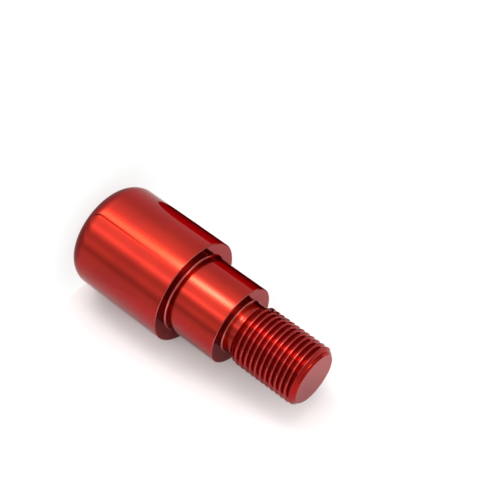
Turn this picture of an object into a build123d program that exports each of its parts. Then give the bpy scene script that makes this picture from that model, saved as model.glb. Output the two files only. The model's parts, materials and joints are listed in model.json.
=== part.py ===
from build123d import *
import math
import os

# A bar end weight for a motorbike's handlebar, turned from one bar, in millimetres.
# It stands on the flat outer face of its head. +Z is the turning axis and points at the tip of the stud,
# and the origin is the centre of the outer face.

# Head: the weight itself, which stays outside the handlebar.
HEAD_DIAMETER = 28.0
HEAD_LENGTH = 30.0
HEAD_EDGE_RADIUS = 4.5

# Neck: reaches through the open end of the grip and seats on the end of the handlebar.
NECK_DIAMETER = 21.0
NECK_LENGTH = 15.0

# Stud: screws into the handlebar by a metric fine thread. The allowance is taken off the crests.
STUD_LENGTH = 22.5
THREAD_DIAMETER = 16.0
THREAD_PITCH = 1.5
THREAD_ALLOWANCE = 0.1
TIP_CHAMFER = 1.3

# Relief: the plain groove at the root of the stud, where the threading tool runs out.
RELIEF_LENGTH = 4.1
RELIEF_UNDER_ROOT = 0.1

# Small edges: the broken rims of the two shoulders.
RIM_BREAK = 0.25

# Form of a metric thread: the slope of a flank against the radius, and shares of the height of the sharp
# triangle that the flanks would make. The crests lose the first share, and the groove is the second deep.
FLANK_ANGLE = 30.0
CREST_CUT_SHARE = 1 / 8
GROOVE_DEPTH_SHARE = 17 / 24

head_radius = HEAD_DIAMETER / 2
neck_radius = NECK_DIAMETER / 2

flank_slope = math.tan(math.radians(FLANK_ANGLE))
sharp_height = THREAD_PITCH / 2 / flank_slope
sharp_radius = THREAD_DIAMETER / 2 + CREST_CUT_SHARE * sharp_height
crest_radius = (THREAD_DIAMETER - THREAD_ALLOWANCE) / 2
root_radius = THREAD_DIAMETER / 2 - GROOVE_DEPTH_SHARE * sharp_height
relief_radius = root_radius - RELIEF_UNDER_ROOT

head_shoulder = HEAD_LENGTH
neck_shoulder = head_shoulder + NECK_LENGTH
relief_middle = neck_shoulder + RELIEF_LENGTH / 2
relief_end = neck_shoulder + RELIEF_LENGTH
tip = neck_shoulder + STUD_LENGTH


def turned(section):
    """The solid that a half section in radius and height makes when it is turned round the axis."""
    return revolve(Plane.XZ * section, axis=Axis.Z)


def head_and_neck():
    """Head, neck and the lower half of the relief, with their small edges."""
    outer_edge = (head_radius, 0)
    head_rim = (head_radius, head_shoulder)
    neck_rim = (neck_radius, neck_shoulder)
    outline = Polyline(
        (0, 0),
        outer_edge,
        head_rim,
        (neck_radius, head_shoulder),
        neck_rim,
        (relief_radius, neck_shoulder),
        (relief_radius, relief_middle),
        (0, relief_middle),
        close=True,
    )
    section = make_face(outline)

    def corner(point):
        return section.vertices().sort_by_distance((*point, 0))[0]

    section = fillet(corner(outer_edge), HEAD_EDGE_RADIUS)
    section = chamfer(corner(head_rim), RIM_BREAK)
    section = chamfer(corner(neck_rim), RIM_BREAK)
    return turned(section)


def stud_limits():
    """The upper half of the relief and the two 45 degree ends of the thread, wider than the crests between."""
    outline = Polyline(
        (0, relief_middle),
        (relief_radius, relief_middle),
        (relief_radius, relief_end - (crest_radius - relief_radius)),
        (sharp_radius, relief_end + (sharp_radius - crest_radius)),
        (sharp_radius, tip - TIP_CHAMFER - (sharp_radius - crest_radius)),
        (crest_radius - TIP_CHAMFER, tip),
        (0, tip),
        close=True,
    )
    return turned(make_face(outline))


def threaded_rod(bottom, turns):
    """A right-hand threaded rod with screw-shaped ends, made turn by turn from ruled helical faces."""
    crest_half = (sharp_radius - crest_radius) * flank_slope
    root_half = THREAD_PITCH / 2 - (sharp_radius - root_radius) * flank_slope
    groove_middle = THREAD_PITCH / 2
    profile = [
        (crest_radius, -crest_half),
        (crest_radius, crest_half),
        (root_radius, groove_middle - root_half),
        (root_radius, groove_middle + root_half),
        (crest_radius, THREAD_PITCH - crest_half),
    ]

    def one_turn(radius, height):
        return Helix(pitch=THREAD_PITCH, height=THREAD_PITCH, radius=radius, center=(0, 0, height)).edge()

    faces = []
    for turn in range(turns):
        start = bottom + turn * THREAD_PITCH
        lines = [one_turn(radius, start + height) for radius, height in profile]
        for lower, upper in zip(lines, lines[1:]):
            faces.append(Face.make_surface_from_curves(lower, upper))

    for end in (bottom, bottom + turns * THREAD_PITCH):
        step = [(radius, 0, end + height) for radius, height in profile]
        axis_low = (0, 0, step[0][2])
        axis_high = (0, 0, step[-1][2])
        axis_line = Line(axis_low, axis_high)
        faces.append(make_face([axis_line, *Polyline(axis_low, *step, axis_high).edges()]).face())
        faces.append(Face.make_surface_from_curves(axis_line.edge(), one_turn(*step[0][::2])))
    return Solid(Shell(faces))


rod_bottom = relief_middle - 2 * THREAD_PITCH
rod_turns = math.ceil((tip - rod_bottom) / THREAD_PITCH) + 1
stud = stud_limits() & threaded_rod(rod_bottom, rod_turns)
bar_end_weight = head_and_neck() + stud

os.makedirs("parts", exist_ok=True)
export_step(bar_end_weight, "parts/bar_end_weight.step")
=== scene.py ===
# %% [markdown]
# # A bar end weight in polished red aluminium
# The part is turned from one bar: a heavy round head, a plain neck and a threaded stud. This lesson builds
# it for a picture. The packed CAD part is the frame: it fixes every size and place, and nothing here moves
# it. What is added is what a CAD solid can't show: soft edges, a mirror-smooth skin, the anodised colour,
# and the studio round it.

# %% Load the packed part
import json
import math

import bpy
import numpy as np
from mathutils import Matrix, Vector


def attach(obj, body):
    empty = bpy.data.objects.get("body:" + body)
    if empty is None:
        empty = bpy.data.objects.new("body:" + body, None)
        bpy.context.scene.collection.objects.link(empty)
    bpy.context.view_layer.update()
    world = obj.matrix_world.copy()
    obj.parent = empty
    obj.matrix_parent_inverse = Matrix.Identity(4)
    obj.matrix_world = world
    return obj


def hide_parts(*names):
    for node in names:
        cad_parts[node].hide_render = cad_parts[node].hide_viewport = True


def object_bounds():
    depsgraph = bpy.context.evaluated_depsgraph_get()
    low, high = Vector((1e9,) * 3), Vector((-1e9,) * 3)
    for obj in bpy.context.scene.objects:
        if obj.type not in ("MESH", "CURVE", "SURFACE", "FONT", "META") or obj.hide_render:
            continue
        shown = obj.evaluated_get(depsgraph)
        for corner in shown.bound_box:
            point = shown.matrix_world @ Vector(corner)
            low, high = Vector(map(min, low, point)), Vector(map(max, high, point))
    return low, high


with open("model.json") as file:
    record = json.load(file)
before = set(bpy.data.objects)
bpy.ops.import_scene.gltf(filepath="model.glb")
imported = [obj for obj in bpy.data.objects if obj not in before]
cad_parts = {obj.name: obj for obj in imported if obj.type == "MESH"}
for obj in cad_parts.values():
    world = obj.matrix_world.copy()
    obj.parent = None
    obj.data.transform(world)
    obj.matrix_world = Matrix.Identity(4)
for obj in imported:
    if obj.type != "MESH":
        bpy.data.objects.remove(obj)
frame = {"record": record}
cad_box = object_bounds()
NODE = "bar_end_weight"
print("CAD box in millimetres:", [[round(1000 * c, 2) for c in corner] for corner in cad_box])

# %% [markdown]
# ## Sizes
# The main sizes come from the frame: the box gives the head's radius and the whole length, and the record's
# mounts give the two shoulders, the neck and the thread. Small sizes that the frame doesn't hold are named
# where they are first used. The lesson works in millimetres, as a turner does, and goes over to metres only
# where something is placed in Blender.

# %% Sizes of the part, in millimetres
MM = 0.001
mounts = {mount["name"]: mount for mount in frame["record"]["mounts"]}
head_radius = cad_box[1][0] / MM
tip = cad_box[1][2] / MM
head_shoulder = mounts["grip_face"]["pos_m"][2] / MM
neck_shoulder = mounts["bar_seat"]["pos_m"][2] / MM
neck_radius = mounts["neck"]["dims"]["r_mm"]
thread_radius = mounts["bar_thread"]["dims"]["r_mm"]
thread_middle = mounts["bar_thread"]["pos_m"][2] / MM
thread_half = mounts["bar_thread"]["dims"]["length_mm"] / 2
relief_end = thread_middle - thread_half
chamfer_start = thread_middle + thread_half
print(f"head {2 * head_radius:.1f} across, neck {2 * neck_radius:.1f} across, {tip:.1f} long")

# %% [markdown]
# ## Camera
# The picture shows the weight lying across the frame, while the part stands upright on its head. Turning the
# whole part would break the shared frame, so the camera rolls instead: it stands 23 degrees above the part's
# horizon and leans over until the axis runs down to the right. The side that it looks from is the one where
# the crests of the thread sit as they do in the picture.

# %% Directions of the camera
CAMERA_ELEVATION = math.radians(23.08)
CAMERA_AZIMUTH = math.radians(291.0)
AXIS_SLOPE = math.radians(34.74)      # how steeply the axis runs down to the right


def level_direction(azimuth):
    """The unit vector that points to an azimuth on the horizon."""
    return Vector((math.cos(azimuth), math.sin(azimuth), 0))


vertical = Vector((0, 0, 1))
toward_camera = level_direction(CAMERA_AZIMUTH)
side_of_camera = level_direction(CAMERA_AZIMUTH + math.pi / 2)
back = toward_camera * math.cos(CAMERA_ELEVATION) + vertical * math.sin(CAMERA_ELEVATION)
upright = back.cross(side_of_camera)
roll = math.pi / 2 + AXIS_SLOPE
right = side_of_camera * math.cos(roll) + upright * math.sin(roll)
up = back.cross(right)
print("camera rolled by", round(math.degrees(roll), 1), "degrees")

# %% Camera
PICTURE_SIZE = 500
PICTURE_FOCUS = 1295.0                # focal length in pixels
SHOULDER_PIXEL = (194.4, 292.3)       # where the centre of the head's shoulder shows
SHOULDER_DISTANCE = 314.2             # from the lens, along the line of sight
SENSOR_WIDTH = 36.0
NEAREST_SEEN = 10.0

from_centre = [(pixel - PICTURE_SIZE / 2) / PICTURE_FOCUS for pixel in SHOULDER_PIXEL]
sight_line = back - right * from_centre[0] + up * from_centre[1]
eye = vertical * head_shoulder + sight_line * SHOULDER_DISTANCE

camera_data = bpy.data.cameras.new("picture_camera")
camera_data.sensor_width = SENSOR_WIDTH
camera_data.lens = PICTURE_FOCUS / PICTURE_SIZE * SENSOR_WIDTH
camera_data.clip_start = NEAREST_SEEN * MM
camera = bpy.data.objects.new("picture_camera", camera_data)
camera.matrix_world = Matrix.Translation(eye * MM) @ Matrix((right, up, back)).transposed().to_4x4()
bpy.context.scene.collection.objects.link(camera)
bpy.context.scene.camera = camera
print("camera at", [round(c, 1) for c in eye], "lens", round(camera_data.lens, 1))

# %% [markdown]
# ## Section of the turned part
# On a lathe the weight is drawn as half a section, and the spindle does the rest. Here too: the section is a
# row of small arcs, and the straight walls and faces are simply what joins one arc to the next. A bevel
# could round the edges as well, but a mirror finish shows every error in the normals. So each point carries
# its own exact normal, and none is averaged from the faces. No rim on a polished part is sharp, so every rim
# is a small arc.

# %% Arcs of the section
RIM_RADIUS = 0.25
RIM_STEPS = 6
CORNER_RADIUS = 0.5
CORNER_STEPS = 10


def arc(centre, radius, start, end, steps, hollow=False):
    """Points of an arc in radius and height, each with its normal, which a hollow arc turns inwards."""
    sign = -1 if hollow else 1
    points = []
    for step in range(steps + 1):
        angle = math.radians(start + (end - start) * step / steps)
        out, along = math.cos(angle), math.sin(angle)
        points.append((centre[0] + radius * out, centre[1] + radius * along, sign * out, sign * along))
    return points


def rim(radius, height):
    """The rounded outer rim of a shoulder."""
    return arc((radius - RIM_RADIUS, height - RIM_RADIUS), RIM_RADIUS, 0, 90, RIM_STEPS)


def inner_corner(radius, height, lean=0.0):
    """The tool radius where a shoulder meets a thinner round, whose wall may lean a few degrees."""
    centre = (radius + CORNER_RADIUS, height + CORNER_RADIUS)
    return arc(centre, CORNER_RADIUS, 270, 180 + lean, CORNER_STEPS, hollow=True)


print("points in the head's rim:", len(rim(head_radius, head_shoulder)))

# %% [markdown]
# ## Thread
# The stud has a metric thread: flanks at 60 degrees to each other, flat crests and flat roots. Cutting it
# with a boolean would leave ragged normals, so it is written as a formula instead: the radius of the stud as
# a function of the height and the turn. A soft minimum trims one shape by another and rounds the edge
# between them, which is also what polishing does. Rounding takes some of a crest's width, so the crests
# start a little wider than on the drawing. Next to the relief the thread ends in a soft slope, where the
# tool ran out.

# %% Sizes of the thread
THREAD_PITCH = 1.5
THREAD_ALLOWANCE = 0.1
FLANK_SLOPE = math.tan(math.radians(30))
GROOVE_DEPTH_SHARE = 17 / 24          # of the sharp triangle that the flanks would make
RELIEF_UNDER_ROOT = 0.1
CREST_HALF_WIDTH = 0.16               # before rounding

sharp_height = THREAD_PITCH / 2 / FLANK_SLOPE
crest_radius = thread_radius - THREAD_ALLOWANCE / 2
root_radius = thread_radius - GROOVE_DEPTH_SHARE * sharp_height
relief_radius = root_radius - RELIEF_UNDER_ROOT
run_out_start = relief_end - (crest_radius - relief_radius)
first_crest = (neck_shoulder + relief_end) / 2
print(f"crests {2 * crest_radius:.2f} across, roots {2 * root_radius:.2f}, relief {2 * relief_radius:.2f}")

# %% Radius of the stud
CREST_SOFTNESS = 0.16
END_SOFTNESS = 0.12
RUN_OUT_SOFTNESS = 0.6


def soft_min(a, b, softness):
    """The smaller of two values, with the corner between them rounded."""
    overlap = np.maximum(softness - np.abs(a - b), 0) / softness
    return np.minimum(a, b) - overlap * overlap * softness / 4


def soft_max(a, b, softness):
    """The larger of two values, with the corner between them rounded."""
    return -soft_min(-a, -b, softness)


def stud_radius(height, turn):
    """Radius of the stud at a height, on a line that is a share of a full turn round the axis."""
    phase = (height - first_crest) / THREAD_PITCH - turn
    from_crest = np.abs(phase - np.round(phase)) * THREAD_PITCH
    flank = crest_radius - (from_crest - CREST_HALF_WIDTH) / FLANK_SLOPE
    ridge = soft_max(soft_min(flank, crest_radius, CREST_SOFTNESS), root_radius, CREST_SOFTNESS)
    run_out = soft_max(relief_radius + height - run_out_start, relief_radius, RUN_OUT_SOFTNESS)
    chamfer = crest_radius + chamfer_start - height
    return soft_min(ridge, np.minimum(run_out, chamfer), END_SOFTNESS)


print("stud half way up the thread:", round(float(stud_radius(thread_middle, 0)), 2), "from the axis")

# %% [markdown]
# ## One skin
# The whole part gets one closed skin, made row by row. A row is a ring of points, and each point is written
# down with its place and its normal. Joining two rows adds a belt of faces. Blender's screw modifier could
# spin the section, and a thread as well, but it can't end a climbing thread in a level circle.

# %% Points and faces of the skin
AROUND = 192

turns = np.arange(AROUND) / AROUND
around = np.stack([np.cos(2 * np.pi * turns), np.sin(2 * np.pi * turns)], axis=1)
places, normals, faces = [], [], []


def add_circle(radius, height, out, along):
    """Adds a level circle of points, whose normals lean out and along the axis. Returns their numbers."""
    first = len(places)
    for x, y in around:
        places.append((radius * x, radius * y, height))
        normals.append((out * x, out * y, along))
    return [first + i for i in range(AROUND)]


def add_centre(height, along):
    """Adds the middle point of a flat face, as a row whose points are all the same."""
    places.append((0, 0, height))
    normals.append((0, 0, along))
    return [len(places) - 1] * AROUND


def add_face(points):
    """Adds a face without the points that repeat, unless it has shrunk to a line."""
    distinct = [point for k, point in enumerate(points) if point != points[k - 1]]
    if len(distinct) > 2:
        faces.append(distinct)


def join(rows):
    """Adds a belt of faces between each row of points and the next. The rows run along the section."""
    for lower, upper in zip(rows, rows[1:]):
        for i in range(AROUND):
            j = (i + 1) % AROUND
            add_face([lower[i], lower[j], upper[j], upper[i]])


print("points in a row:", AROUND)

# %% [markdown]
# ## Head, neck and relief
# The outer edge of the head is a large round. Each shoulder has a rim outside and a tool radius inside,
# which shows as a thin bright line. The relief is the groove between shoulder and thread. A round-nosed tool
# cut it, so it is a very shallow hollow and not a plain cylinder: a large arc, which draws its reflections
# together.

# %% Head, neck and relief
HEAD_EDGE_RADIUS = 4.5
HEAD_EDGE_STEPS = 24
RELIEF_HOLLOW_RADIUS = 14.0
RELIEF_STEPS = 8

edge_centre = (head_radius - HEAD_EDGE_RADIUS, HEAD_EDGE_RADIUS)
relief_start = neck_shoulder + CORNER_RADIUS
thread_low = run_out_start - RUN_OUT_SOFTNESS
hollow_turn = math.asin((thread_low - relief_start) / 2 / RELIEF_HOLLOW_RADIUS)
hollow_lean = math.degrees(hollow_turn)
hollow_out = relief_radius + RELIEF_HOLLOW_RADIUS * math.cos(hollow_turn)
hollow_centre = (hollow_out, (relief_start + thread_low) / 2)
hollow_ends = (180 + hollow_lean, 180 - hollow_lean)
section = [
    *arc(edge_centre, HEAD_EDGE_RADIUS, -90, 0, HEAD_EDGE_STEPS),
    *rim(head_radius, head_shoulder),
    *inner_corner(neck_radius, head_shoulder),
    *rim(neck_radius, neck_shoulder),
    *inner_corner(relief_radius, neck_shoulder, hollow_lean),
    *arc(hollow_centre, RELIEF_HOLLOW_RADIUS, *hollow_ends, RELIEF_STEPS, hollow=True)[1:-1],
    (relief_radius, thread_low, 1, 0),
]
section_rows = [add_centre(0, -1), *(add_circle(*point) for point in section)]
low_circle = section_rows[-1]
join(section_rows)
print("head, neck and relief:", len(places), "points")

# %% [markdown]
# ## Tip
# The tip has a 45 degree chamfer, which leads the stud into the handlebar, and a flat end face. The formula
# of the stud already holds the chamfer. Only the rim between chamfer and end face is left, again a small arc.

# %% Tip of the stud
TIP_RIM_RADIUS = 0.25
TIP_RIM_STEPS = 4
CHAMFER_ANGLE = 45

tip_radius = crest_radius - (tip - chamfer_start)
rim_reach = TIP_RIM_RADIUS * math.tan(math.radians(CHAMFER_ANGLE / 2))
tip_centre = (tip_radius - rim_reach, tip - TIP_RIM_RADIUS)
tip_rim = arc(tip_centre, TIP_RIM_RADIUS, CHAMFER_ANGLE, 90, TIP_RIM_STEPS)
thread_high = tip_rim[0][1]
tip_rows = [*(add_circle(*point) for point in tip_rim), add_centre(tip, 1)]
high_circle = tip_rows[0]
join(tip_rows)
print("thread from", round(thread_low, 2), "to", round(thread_high, 2))

# %% [markdown]
# ## Climbing rows
# The rows of the thread climb one pitch in each turn, so that the crests always run along an edge of the
# mesh. Level rows would cut across them and leave small steps. Where the climbing rows pass the ends of the
# thread, they are held at its two end circles, and the faces that shrink to nothing there are left out.
# After a full turn a row meets the row one pitch higher, which closes the skin without a seam.

# %% Points of the thread
ROWS_PER_PITCH = 24
SLOPE_STEP = 0.0005                   # how far to each side the radius is measured to find a slope

climb = THREAD_PITCH / ROWS_PER_PITCH
same_height = climb / 100
thread_points = {}


def stud_normal(height, turn, x, y):
    """The direction that the stud's surface faces, from how its radius changes upwards and sideways."""
    turn_step = SLOPE_STEP / THREAD_PITCH
    growth_up = stud_radius(height + SLOPE_STEP, turn) - stud_radius(height - SLOPE_STEP, turn)
    growth_aside = stud_radius(height, turn + turn_step) - stud_radius(height, turn - turn_step)
    upwards = growth_up / (2 * SLOPE_STEP)
    aside = growth_aside / (4 * math.pi * turn_step * stud_radius(height, turn))
    return tuple(Vector((x + aside * y, y - aside * x, -upwards)).normalized())


def thread_point(row, column):
    """The number of the point where a climbing row crosses a column, made when it is first asked for."""
    if column == AROUND:
        row, column = row + ROWS_PER_PITCH, 0
    turn = column / AROUND
    height = first_crest + row * climb + THREAD_PITCH * turn
    if height <= thread_low + same_height:
        return low_circle[column]
    if height >= thread_high - same_height:
        return high_circle[column]
    if (row, column) not in thread_points:
        thread_points[row, column] = len(places)
        radius = stud_radius(height, turn)
        x, y = around[column]
        places.append((radius * x, radius * y, height))
        normals.append(stud_normal(height, turn, x, y))
    return thread_points[row, column]


print(f"rows climb {THREAD_PITCH} in each turn and lie {climb:.4f} apart")

# %% Faces of the thread
first_row = math.floor((thread_low - THREAD_PITCH - first_crest) / climb)
last_row = math.ceil((thread_high - first_crest) / climb)
for row in range(first_row, last_row):
    for column in range(AROUND):
        add_face([thread_point(row, column), thread_point(row, column + 1),
                  thread_point(row + 1, column + 1), thread_point(row + 1, column)])
print("thread:", len(thread_points), "points")

# %% [markdown]
# ## Skin object
# Points and faces become a mesh, and the exact normals are set on it. Smooth shading alone would guess them
# from the faces, which shows as waves in a mirror finish. The new piece rides on the part's only body and
# stands in for the CAD solid in the picture.

# %% Skin object
skin = bpy.data.meshes.new("turned_weight")
skin.from_pydata([[c * MM for c in place] for place in places], [], faces)
skin.validate()
skin.shade_smooth()
skin.normals_split_custom_set_from_vertices(normals)
weight = bpy.data.objects.new("turned_weight", skin)
bpy.context.scene.collection.objects.link(weight)
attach(weight, "root")
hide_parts(NODE)
print("skin:", sum(len(face) - 2 for face in faces), "triangles")

# %% [markdown]
# ## Shader sums as Python
# A finish is mostly sums: this much of one thing, less of another. Wired by hand they become a web of nodes,
# so one small class lets Python write them. A field is a shader socket, a plus or a times makes the Math
# node that is needed, and `make` adds any other kind of node. Masks, colours and lights have a few words of
# their own.

# %% Fields
class Field:
    """A value that varies over a surface: a shader socket that can be used in sums."""

    def __init__(self, tree, socket=None):
        self.tree = tree
        self.socket = socket

    def make(self, kind, settings=None, inputs=None, output=0):
        """Adds a node: its settings first, then its inputs as values or fields. Returns an output's field."""
        node = self.tree.nodes.new(kind)
        for name, value in (settings or {}).items():
            setattr(node, name, value)
        for name, value in (inputs or {}).items():
            if isinstance(value, Field):
                self.tree.links.new(value.socket, node.inputs[name])
            else:
                node.inputs[name].default_value = value
        return Field(self.tree, node.outputs[output])

    def maths(self, operation, other=0.0):
        """A Math node on this field and another field or number."""
        return self.make("ShaderNodeMath", {"operation": operation}, {0: self, 1: other})

    def __add__(self, other):
        return self.maths("ADD", other)

    def __sub__(self, other):
        return self.maths("SUBTRACT", other)

    def __rsub__(self, other):
        return self * -1 + other

    def __mul__(self, other):
        return self.maths("MULTIPLY", other)

    __radd__ = __add__
    __rmul__ = __mul__

    def ramp(self, start, end):
        """0 up to start, 1 from end on, and a soft slope between them."""
        return self.make("ShaderNodeMapRange", {"interpolation_type": "SMOOTHSTEP"},
                         {"Value": self, "From Min": start, "From Max": end})

    def band(self, start, full, fade, end):
        """1 between full and fade, 0 before start and after end, and soft slopes between them."""
        return self.ramp(start, full) * (1 - self.ramp(fade, end))

    def strip(self, centre, half_width):
        """1 at the centre, fading on both sides like the glow of a lamp."""
        away = (self - centre) * (1 / half_width)
        return (away * away * -1).maths("EXPONENT")

    def blend(self, low, high):
        """A colour between two others, with this field as the share of the second."""
        return self.make("ShaderNodeMix", {"data_type": "RGBA"}, {0: self, 6: low, 7: high}, output=2)

    def tint(self, colour):
        """A light of one colour, as bright as this field."""
        return self.make("ShaderNodeVectorMath", {"operation": "SCALE"}, {0: colour, "Scale": self})

    def plus(self, light):
        """Two lights together, each with its own colour."""
        return self.make("ShaderNodeVectorMath", {"operation": "ADD"}, {0: self, 1: light})

    def toward(self, direction):
        """How far a place, or a direction, reaches along another direction."""
        settings = {"operation": "DOT_PRODUCT"}
        return self.make("ShaderNodeVectorMath", settings, {0: self, 1: direction}, output="Value")


print("words of a field:", ", ".join(name for name in vars(Field) if not name.startswith("_")))

# %% [markdown]
# ## Where the finish changes
# The head has the best polish, the neck a slightly duller one, and the stud is satin, as the threading tool
# leaves it. The grooves of the thread are painted a darker red, which is painted shade. Rims and inner
# corners are rougher, and the inner corners keep rough marks of the tool. Crests, rims and inner corners are
# also painted paler: a painted highlight, which draws them as thin bright lines. The pieces could be parted
# and given a material each, but then every change would be hard-edged. Instead each place is a mask: a field
# that is 1 there and 0 elsewhere, worked out from the radius and the height alone.

# %% Where a point of the part lies
finish = bpy.data.materials.new("red_anodised")
finish.use_nodes = True
finish_nodes = Field(finish.node_tree)


def height_of(place):
    """How high a place lies along the axis, in millimetres."""
    return place.toward(vertical / MM)


def axis_distance(place):
    """How far a place lies from the axis, in millimetres."""
    x = place.toward((1 / MM, 0, 0))
    y = place.toward((0, 1 / MM, 0))
    return (x * x + y * y).maths("SQRT")


on_part = finish_nodes.make("ShaderNodeTexCoord", output="Object")
part_height = height_of(on_part)
part_radius = axis_distance(on_part)
print("finish nodes for radius and height:", len(finish.node_tree.nodes))

# %% Masks of the finish
MASK_FADE = 0.2                       # the length over which a mask begins
END_FACE_FADE = (0.3, 0.1)            # the stud's finish ends between these distances from the tip
THREAD_FADE = (1.0, 0.6)              # the thread's finish begins this far before the relief's end
EDGE_HALF_WIDTH = 0.18
CORNER_OFFSET = 0.12                  # from the sharp corner towards the middle of its arc
RIM_SHARE = 0.85                      # how strong a rim is beside an inner corner

past_head = part_height.ramp(head_shoulder, head_shoulder + MASK_FADE)
end_face = [tip - fade for fade in END_FACE_FADE]
on_stud = part_height.band(neck_shoulder, neck_shoulder + MASK_FADE, *end_face)
on_thread = part_height.ramp(*(relief_end - fade for fade in THREAD_FADE)) * on_stud
on_crests = part_radius.ramp(crest_radius - MASK_FADE, crest_radius) * on_thread


def thin_ring(radius, height, offset=0.0):
    """1 on a thin ring round the axis. An offset moves it out and up, into the arc of an inner corner."""
    beside = part_radius.strip(radius + offset, EDGE_HALF_WIDTH)
    return beside * part_height.strip(height + offset, EDGE_HALF_WIDTH)


rims = thin_ring(head_radius, head_shoulder) + thin_ring(neck_radius, neck_shoulder)
neck_corner = thin_ring(neck_radius, head_shoulder, CORNER_OFFSET)
relief_corner = thin_ring(relief_radius, neck_shoulder, CORNER_OFFSET)
# Rims and inner corners: rougher, and painted paler as a painted highlight.
on_edges = rims * RIM_SHARE + (neck_corner + relief_corner)
print("finish nodes with the masks:", len(finish.node_tree.nodes))

# %% [markdown]
# ## Red anodised finish
# Anodising grows a clear, hard layer of oxide on the aluminium, and red dye sinks into it, a little unevenly.
# So the finish has two parts: a metal that reflects only red, and a clear coat above it that reflects white.
# Straight on, the coat hardly shows and the red is deep. At a slant it takes over and the red turns pink.
# A red plastic under a coat would look painted, because it has no red reflections. The turning marks are too
# fine to see one by one, but they run round the part, so they blur a reflection along the axis and leave it
# sharp round it. Blender calls such a metal anisotropic.

# %% Colour of the finish
RINGS_PER_MM = 7.0
DYE_SCALE = 90.0                      # patches of dye in a metre
DYE_RANGE = (0.3, 0.7)
THIN_DYE = (0.35, 0.007, 0.0005, 1)
FULL_DYE = (0.39, 0.010, 0.001, 1)
# Painted shade: the grooves of the thread get a darker red.
GROOVE_SHADE_RED = (0.325, 0.003, 0.0005, 1)
# Painted highlights: crests, rims and inner corners get a paler colour, which draws them as thin bright
# lines.
CREST_HIGHLIGHT_RED = (0.38, 0.035, 0.033, 1)
EDGE_HIGHLIGHT_PINK = (0.6, 0.2, 0.19, 1)
EDGE_RANGE = (0.2, 1.0)

along_tool = part_radius + part_height    # the way that the tool has travelled
rings = finish_nodes.make("ShaderNodeTexNoise", {"noise_dimensions": "1D"},
                          {"W": along_tool, "Scale": RINGS_PER_MM, "Detail": 3.0, "Roughness": 0.6})
dye = finish_nodes.make("ShaderNodeTexNoise", {}, {"Vector": on_part, "Scale": DYE_SCALE, "Detail": 3.0})
red = dye.ramp(*DYE_RANGE).blend(THIN_DYE, FULL_DYE)
# Painted shade: a darker red in the grooves of the thread.
groove_shaded_red = on_thread.blend(red, GROOVE_SHADE_RED)
# Painted highlight: paler crests, then paler rims and inner corners.
highlit_crest_red = on_crests.blend(groove_shaded_red, CREST_HIGHLIGHT_RED)
colour = on_edges.ramp(*EDGE_RANGE).blend(highlit_crest_red, EDGE_HIGHLIGHT_PINK)
print("finish nodes with the colour:", len(finish.node_tree.nodes))

# %% Gloss of the finish
POLISH = 0.08
RING_ROUGHNESS = 0.02
NECK_ROUGHNESS = 0.03
STUD_ROUGHNESS = 0.08
EDGE_ROUGHNESS = 0.15
GROOVE_COAT_LOSS = 0.35
RING_STRENGTH = 0.05
RING_DEPTH = 0.01

roughness = (POLISH + rings * RING_ROUGHNESS + past_head * NECK_ROUGHNESS
             + on_stud * STUD_ROUGHNESS + on_edges * EDGE_ROUGHNESS)
coat = 1 - on_thread * (1 - on_crests) * GROOVE_COAT_LOSS
ring_marks = finish_nodes.make("ShaderNodeBump", {}, {"Strength": RING_STRENGTH, "Height": rings,
                                                      "Distance": RING_DEPTH * MM})
print("finish nodes with the gloss:", len(finish.node_tree.nodes))

# %% Red metal under a clear coat
varied = {"Base Color": colour, "Roughness": roughness, "Coat Weight": coat, "Normal": ring_marks}
uniform = {
    "Metallic": 1.0,
    "Specular Tint": (0.55, 0.0, 0.0, 1),
    "Anisotropic": 1.0,
    "Anisotropic Rotation": 0.25,
    "Coat Roughness": 0.06,
    "Coat IOR": 1.28,
}
metal = finish.node_tree.nodes["Principled BSDF"]
for name, field in varied.items():
    finish.node_tree.links.new(field.socket, metal.inputs[name])
for name, value in uniform.items():
    metal.inputs[name].default_value = value
skin.materials.append(finish)
print("finish:", ", ".join(varied), "vary over the part")

# %% [markdown]
# ## Studio
# The part stands on a pale floor, and a pale wall touches the side of its head. In the picture the rolled
# camera makes that wall the surface on which the weight lies: it takes the soft shadow and shows in the red
# sides. One curved sheet could be both, but the floor would darken the mirror image in the head's round edge.
# So they are two sheets, and only the camera sees the floor.

# %% Floor and wall
WALL_AZIMUTH = CAMERA_AZIMUTH - math.radians(29.5)
STAGE_HALF = 1000.0
STAGE_GAP = 0.02
wall_front = level_direction(WALL_AZIMUTH)
wall_side = level_direction(WALL_AZIMUTH + math.pi / 2)


def stage_face(name, outline):
    """A flat face for the studio. Seen from its front, the corners of its outline run anticlockwise."""
    mesh = bpy.data.meshes.new(name)
    mesh.from_pydata([corner * MM for corner in outline], [], [tuple(range(len(outline)))])
    sheet = bpy.data.objects.new(name, mesh)
    bpy.context.scene.collection.objects.link(sheet)
    return sheet


def square(centre, across, along):
    """The corners of a square sheet, from its centre and two half sides."""
    return [centre + across * a + along * b for a, b in ((-1, -1), (1, -1), (1, 1), (-1, 1))]


wall_foot = wall_front * -(head_radius + STAGE_GAP)
wall_half = vertical * STAGE_HALF
floor_halves = Vector((STAGE_HALF, 0, 0)), Vector((0, STAGE_HALF, 0))
floor = stage_face("floor", square(vertical * -STAGE_GAP, *floor_halves))
wall = stage_face("wall", square(wall_foot + wall_half, wall_side * STAGE_HALF, wall_half))
floor.visible_glossy = floor.visible_diffuse = floor.visible_shadow = False
print("wall at", round(wall_foot.length, 2), "from the axis, facing", round(math.degrees(WALL_AZIMUTH), 1))

# %% [markdown]
# ## Pale sheets
# Paper in a studio picture is exposed until it is nearly blank. A plain matt white would need so much light
# that the red parts burn out, so the camera sees each sheet with a glow of its own. The glow is weaker beside
# the head, where paper and part nearly touch, and pinker near the part, whose red the paper picks up. Beyond
# the tip the paper is brighter, as the end face mirrors it. Under the head it glows in mirror reflections
# only, so that the underside isn't black. Seen in two mirrors in turn, the paper is dimmer, which keeps the
# inner corners deep. From behind the sheets are clear, so a camera behind the wall still sees the part.

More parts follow.
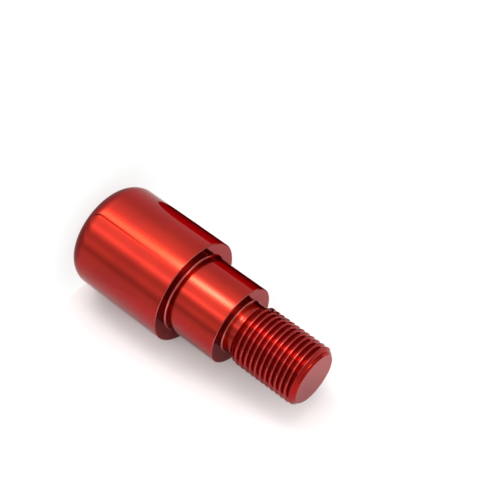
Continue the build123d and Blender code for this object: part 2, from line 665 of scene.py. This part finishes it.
# %% Light that a sheet adds
NEAR_PART = 20.0                      # from the axis
NEAR_TINT = (0.0, -0.04, -0.04)
FAR_TINT = (0.0, 0.06, 0.05)
CONTACT_SHADE, CONTACT_HEIGHT = 0.2, (8, 26)
END_GLOW, END_GLOW_HEIGHT = 0.17, (50, 75)
UNDER_HEAD_GLOW, UNDER_HEAD_HEIGHT = 0.5, (20, 30)
UNDER_HEAD = 6.0                      # to each side of the line where wall and head touch


def sheet_light(begin, glow):
    """The light that a sheet adds to what falls on it."""
    place = begin.make("ShaderNodeNewGeometry", output="Position")
    seen = begin.make("ShaderNodeLightPath", output="Is Camera Ray")
    mirrored = begin.make("ShaderNodeLightPath", output="Is Glossy Ray")
    height = height_of(place)
    near = axis_distance(place).strip(0, NEAR_PART)
    far_glow = [glow + change for change in FAR_TINT] + [1]
    near_glow = [glow + change for change in NEAR_TINT] + [1]
    own_glow = seen.tint(near.blend(far_glow, near_glow))
    contact = seen * near * (1 - height.ramp(*CONTACT_HEIGHT)) * CONTACT_SHADE
    under_head = place.toward(wall_side / MM).strip(0, UNDER_HEAD) * (1 - height.ramp(*UNDER_HEAD_HEIGHT))
    white_glow = height.ramp(*END_GLOW_HEIGHT) * END_GLOW + mirrored * under_head * UNDER_HEAD_GLOW
    return own_glow.plus((white_glow - contact).tint((1, 1, 1)))


print("glow of a sheet changes within", NEAR_PART, "of the axis, and from", END_GLOW_HEIGHT[0], "up")

# %% Materials of the studio
def bare_material(name):
    """A material without a shader, and the field that its nodes begin with."""
    material = bpy.data.materials.new(name)
    material.use_nodes = True
    material.node_tree.nodes.remove(material.node_tree.nodes["Principled BSDF"])
    return material, Field(material.node_tree)


def give(sheet, material, surface):
    """Makes a shader the surface of a material, and gives the material to a sheet."""
    output = material.node_tree.nodes["Material Output"]
    material.node_tree.links.new(surface.socket, output.inputs["Surface"])
    sheet.data.materials.append(material)
    print(sheet.name, "has", material.name, "with", len(material.node_tree.nodes), "nodes")


print("materials so far:", [material.name for material in bpy.data.materials])

# %% Paper
FLOOR_PAPER, FLOOR_GLOW = (0.12, 0.12, 0.12, 1), 1.0
WALL_PAPER, WALL_GLOW = (0.72, 0.68, 0.70, 1), 0.19
TWICE_MIRRORED = (1.2, 1.8)           # between one mirror and two
TWICE_MIRRORED_LOSS = 0.45


def make_paper(name, sheet, paper, glow):
    """Matt paper that glows a little, is dimmer in a second mirror, and is clear from behind."""
    material, begin = bare_material(name)
    matt = begin.make("ShaderNodeBsdfDiffuse", {}, {"Color": paper})
    light = begin.make("ShaderNodeEmission", {}, {"Color": sheet_light(begin, glow)})
    bright = begin.make("ShaderNodeAddShader", {}, {0: matt, 1: light})
    dark = begin.make("ShaderNodeEmission", {}, {"Color": (0, 0, 0, 1)})
    mirrors = begin.make("ShaderNodeLightPath", output="Glossy Depth")
    loss = mirrors.ramp(*TWICE_MIRRORED) * TWICE_MIRRORED_LOSS
    front = begin.make("ShaderNodeMixShader", {}, {0: loss, 1: bright, 2: dark})
    from_behind = begin.make("ShaderNodeNewGeometry", output="Backfacing")
    clear = begin.make("ShaderNodeBsdfTransparent")
    give(sheet, material, begin.make("ShaderNodeMixShader", {}, {0: from_behind, 1: front, 2: clear}))


make_paper("pale_floor", floor, FLOOR_PAPER, FLOOR_GLOW)
make_paper("pale_wall", wall, WALL_PAPER, WALL_GLOW)

# %% [markdown]
# ## Side card
# Photographers stand dark cards beside shiny metal, because a round that mirrors only white looks flat. Here
# a dark red card gives the deep band along the upper side of the head and neck. It is high beside the head,
# with one round corner, and lower beside the stud. It grows brighter towards its top, so that the band begins
# softly. Painting the band on the finish would be wrong from every other side. Only mirror reflections see
# the card: it casts no shadow, and no camera finds it.

# %% Side card
CARD_AWAY = 26.0                      # from the axis, beside the part
CARD_START, CARD_END = 1.0, 37.0      # the high part, along the axis
CARD_TOP = 12.7                       # from the axis, away from the wall
CARD_CORNER, CARD_CORNER_POINTS = 8.0, 9
LOW_CARD_END = 60.0
LOW_CARD_TOP = 5.0

round_corner = []
for turn in np.linspace(0, math.pi / 2, CARD_CORNER_POINTS):
    lift = CARD_TOP - CARD_CORNER * (1 - math.cos(turn))
    round_corner.append((lift, CARD_START + CARD_CORNER * (1 - math.sin(turn))))
card_outline = [
    (-head_radius, LOW_CARD_END),
    (LOW_CARD_TOP, LOW_CARD_END),
    (LOW_CARD_TOP, CARD_END),
    (CARD_TOP, CARD_END),
    *round_corner,
    (-head_radius, CARD_START),
]
card_middle = wall_side * -CARD_AWAY
card_corners = [card_middle + wall_front * lift + vertical * height for lift, height in card_outline]
side_card = stage_face("side_card", card_corners)
side_card.visible_camera = side_card.visible_diffuse = side_card.visible_shadow = False
print("side card:", len(card_corners), "corners")

# %% Red of the card
CARD_DARK = (0.1, 0.0, 0.0, 1)
CARD_BRIGHT = (1.0, 0.012, 0.03, 1)
CARD_BRIGHTENS = (-6, 15)             # from the axis, away from the wall
CARD_DIMS = (34, 40)                  # along the axis
CARD_DIM_LOSS = 0.8

card_red, card_nodes = bare_material("dark_red")
on_card = card_nodes.make("ShaderNodeNewGeometry", output="Position")
brightness = on_card.toward(wall_front / MM).ramp(*CARD_BRIGHTENS)
share_left = 1 - CARD_DIM_LOSS * height_of(on_card).ramp(*CARD_DIMS)
card_colour = (brightness * share_left).blend(CARD_DARK, CARD_BRIGHT)
give(side_card, card_red, card_nodes.make("ShaderNodeEmission", {}, {"Color": card_colour}))

# %% [markdown]
# ## Light
# A polished round shows nothing but its surroundings, drawn out into streaks along its length. So the light
# is designed as what the part should mirror, and painted on the world that surrounds it. Area lamps could
# stand there instead, but they are harder to place by what they do in a mirror. Each light has an angle round
# the part, in degrees from straight in front of the wall, and a rise: -1 points down the axis from the head,
# 0 is level and 1 points up from the tip.

# %% Directions of the light
world = bpy.data.worlds.new("light_tent")
world.use_nodes = True
bpy.context.scene.world = world
tent_nodes = Field(world.node_tree)
direction = tent_nodes.make("ShaderNodeTexCoord", output="Generated")
rise = direction.toward(vertical)
light_angle = direction.toward(wall_side).maths("ARCTAN2", direction.toward(wall_front)) * math.degrees(1)
from_front = light_angle.maths("ABSOLUTE")
print("world nodes for angle and rise:", len(world.node_tree.nodes))

# %% [markdown]
# ## Tent
# A white tent gives the even red, and is dimmer far down and far up. A broad panel in it gives the wide
# bright band along the part, and a narrow lamp at the panel's edge the second streak. Closer to the wall a
# fold of the tent is brighter and the gap between tent and wall is darker, which draws two soft lines low on
# the part. Beyond the tip the tent is dark but for one glow, which the rims, the rounded crests and the
# chamfer of the tip mirror.

# %% Tent, panel and second lamp
TENT_LIGHT = 0.62
TENT_GAIN, TENT_GAIN_RISE = 0.35, (-0.95, -0.45)
TENT_LOSS, TENT_LOSS_RISE = 0.25, (0.55, 0.8)
BESIDE_PART_RISE = (-1.15, -0.5, 0.1, 0.35)
PANEL_LIGHT, PANEL_ANGLES = 1.1, (-58, -2, 38, 55)
SECOND_LAMP, SECOND_LAMP_WIDTH = 37, 5
SECOND_LAMP_LIGHT, SECOND_LAMP_GAIN, SECOND_LAMP_RISE = 0.5, 0.6, (-0.47, -0.4)

beside_part = rise.band(*BESIDE_PART_RISE)
tent = TENT_LIGHT + TENT_GAIN * rise.ramp(*TENT_GAIN_RISE) - TENT_LOSS * rise.ramp(*TENT_LOSS_RISE)
panel = light_angle.band(*PANEL_ANGLES) * beside_part * PANEL_LIGHT
second_power = SECOND_LAMP_LIGHT + SECOND_LAMP_GAIN * rise.ramp(*SECOND_LAMP_RISE)
second_lamp = light_angle.strip(SECOND_LAMP, SECOND_LAMP_WIDTH) * beside_part * second_power
print("panel from", PANEL_ANGLES[0], "to", PANEL_ANGLES[-1], "degrees, second lamp at", SECOND_LAMP)

# %% Fold, gap and tip side
FOLD, FOLD_WIDTH, FOLD_LIGHT = 69, 7, 0.22
GAP, GAP_WIDTH, GAP_LOSS = 85, 8, 0.28
TIP_SIDE_RISE, TIP_SIDE_LIGHT = (0.1, 0.4, 0.6, 0.8), 0.25
TIP_GLOW, TIP_GLOW_WIDTH, TIP_GLOW_LIGHT = -13, 24, 1.45

fold = light_angle.strip(FOLD, FOLD_WIDTH) * beside_part * FOLD_LIGHT
gap = light_angle.strip(GAP, GAP_WIDTH) * beside_part * GAP_LOSS
whole_tent = tent + panel + second_lamp + fold - gap
tip_side = TIP_SIDE_LIGHT + TIP_GLOW_LIGHT * light_angle.strip(TIP_GLOW, TIP_GLOW_WIDTH)
soft_light = whole_tent + rise.band(*TIP_SIDE_RISE) * (tip_side - whole_tent)
print("fold at", FOLD, "degrees, gap at", GAP, "and the glow beyond the tip at", TIP_GLOW)

# %% [markdown]
# ## Main lamp
# The bright streak along the whole part is one narrow lamp. It stands a little askew to the axis, so the
# streak sits at another angle on the head than on the stud. Its middle is hot, which makes the streak on the
# neck the brightest, and it is weaker where the stud mirrors it. A strip light could be turned until it fits,
# but the hot part would need a second one in front of it.

# %% Main lamp
LAMP_ANGLE, LAMP_WIDTH = -19.1, 8
LAMP_SLOPE, LAMP_SLOPE_RISE = -47, (-0.5, -0.3)
LAMP_LIGHT, LAMP_BEGINS, LAMP_ENDS = 4.6, (-0.87, -0.57), (0.1, 0.4)
STUD_LOSS, STUD_RISE = 0.3, (-0.37, -0.35)
HOT_LIGHT, HOT_RISE = 20, (-0.44, -0.4, -0.385, -0.365)

held_rise = rise.maths("MAXIMUM", LAMP_SLOPE_RISE[0]).maths("MINIMUM", LAMP_SLOPE_RISE[1])
from_lamp = light_angle - held_rise * LAMP_SLOPE - LAMP_ANGLE
even_power = LAMP_LIGHT * rise.ramp(*LAMP_BEGINS) * (1 - STUD_LOSS * rise.ramp(*STUD_RISE))
hot_power = HOT_LIGHT * rise.band(*HOT_RISE)
lamp = from_lamp.strip(0, LAMP_WIDTH) * (even_power + hot_power) * (1 - rise.ramp(*LAMP_ENDS))
print("main lamp at", [round(LAMP_ANGLE + LAMP_SLOPE * end, 1) for end in LAMP_SLOPE_RISE], "degrees")

# %% [markdown]
# ## Shade
# A seam of the tent draws the thin dark line along the head. Behind the wall the light is a little weaker.
# Matt paper gets less light from low angles than a mirror shows there, because the shadow under the part
# would otherwise be too pale.

# %% Shade
SEAM, SEAM_WIDTH, SEAM_RISE = 10, 2.2, (-0.485, -0.42)
BEHIND_WALL, BEHIND_RISE, BEHIND_LOSS = (88, 94), (-0.75, -0.5), 0.3
LOW_ANGLES, LOW_LOSS = (40, 80), 0.85

in_mirror = tent_nodes.make("ShaderNodeLightPath", output="Is Glossy Ray")
seam = light_angle.strip(SEAM, SEAM_WIDTH) * (1 - rise.ramp(*SEAM_RISE))
behind_wall = from_front.ramp(*BEHIND_WALL) * (1 - rise.ramp(*BEHIND_RISE))
low_on_paper = (1 - in_mirror) * from_front.ramp(*LOW_ANGLES)
shade = (1 - seam) * (1 - behind_wall * BEHIND_LOSS) * (1 - low_on_paper * LOW_LOSS)
print("seam at", SEAM, "degrees, low light from", LOW_ANGLES[0], "degrees on")

# %% [markdown]
# ## World
# Tent and lamp are added up, each in its own colour. The lamp is warm in mirror reflections only, so that the
# paper stays white. The camera looks past both and sees plain white, so nothing of the tent stands in the
# background. Blender's standard view keeps the colours as they are mixed here. A film-like view would take
# the depth out of the red.

# %% World
TENT_WHITE = (1.0, 0.97, 0.94)
LAMP_WARM = (1.0, 0.94, 0.6)

lamp_colour = in_mirror.blend((*TENT_WHITE, 1), (*LAMP_WARM, 1))
all_light = (soft_light * shade).tint(TENT_WHITE).plus((lamp * shade).tint(lamp_colour))
studio_light = tent_nodes.make("ShaderNodeBackground", {}, {"Color": all_light})
plain_white = tent_nodes.make("ShaderNodeBackground", {}, {"Color": (1, 1, 1, 1)})
by_camera = tent_nodes.make("ShaderNodeLightPath", output="Is Camera Ray")
surroundings = tent_nodes.make("ShaderNodeMixShader", {}, {0: by_camera, 1: studio_light, 2: plain_white})
world_output = world.node_tree.nodes["World Output"]
world.node_tree.links.new(surroundings.socket, world_output.inputs["Surface"])
bpy.context.scene.view_settings.view_transform = "Standard"
print("world nodes in all:", len(world.node_tree.nodes))

# %% [markdown] ## End The fine skin is meant to stay inside the box of the CAD part.
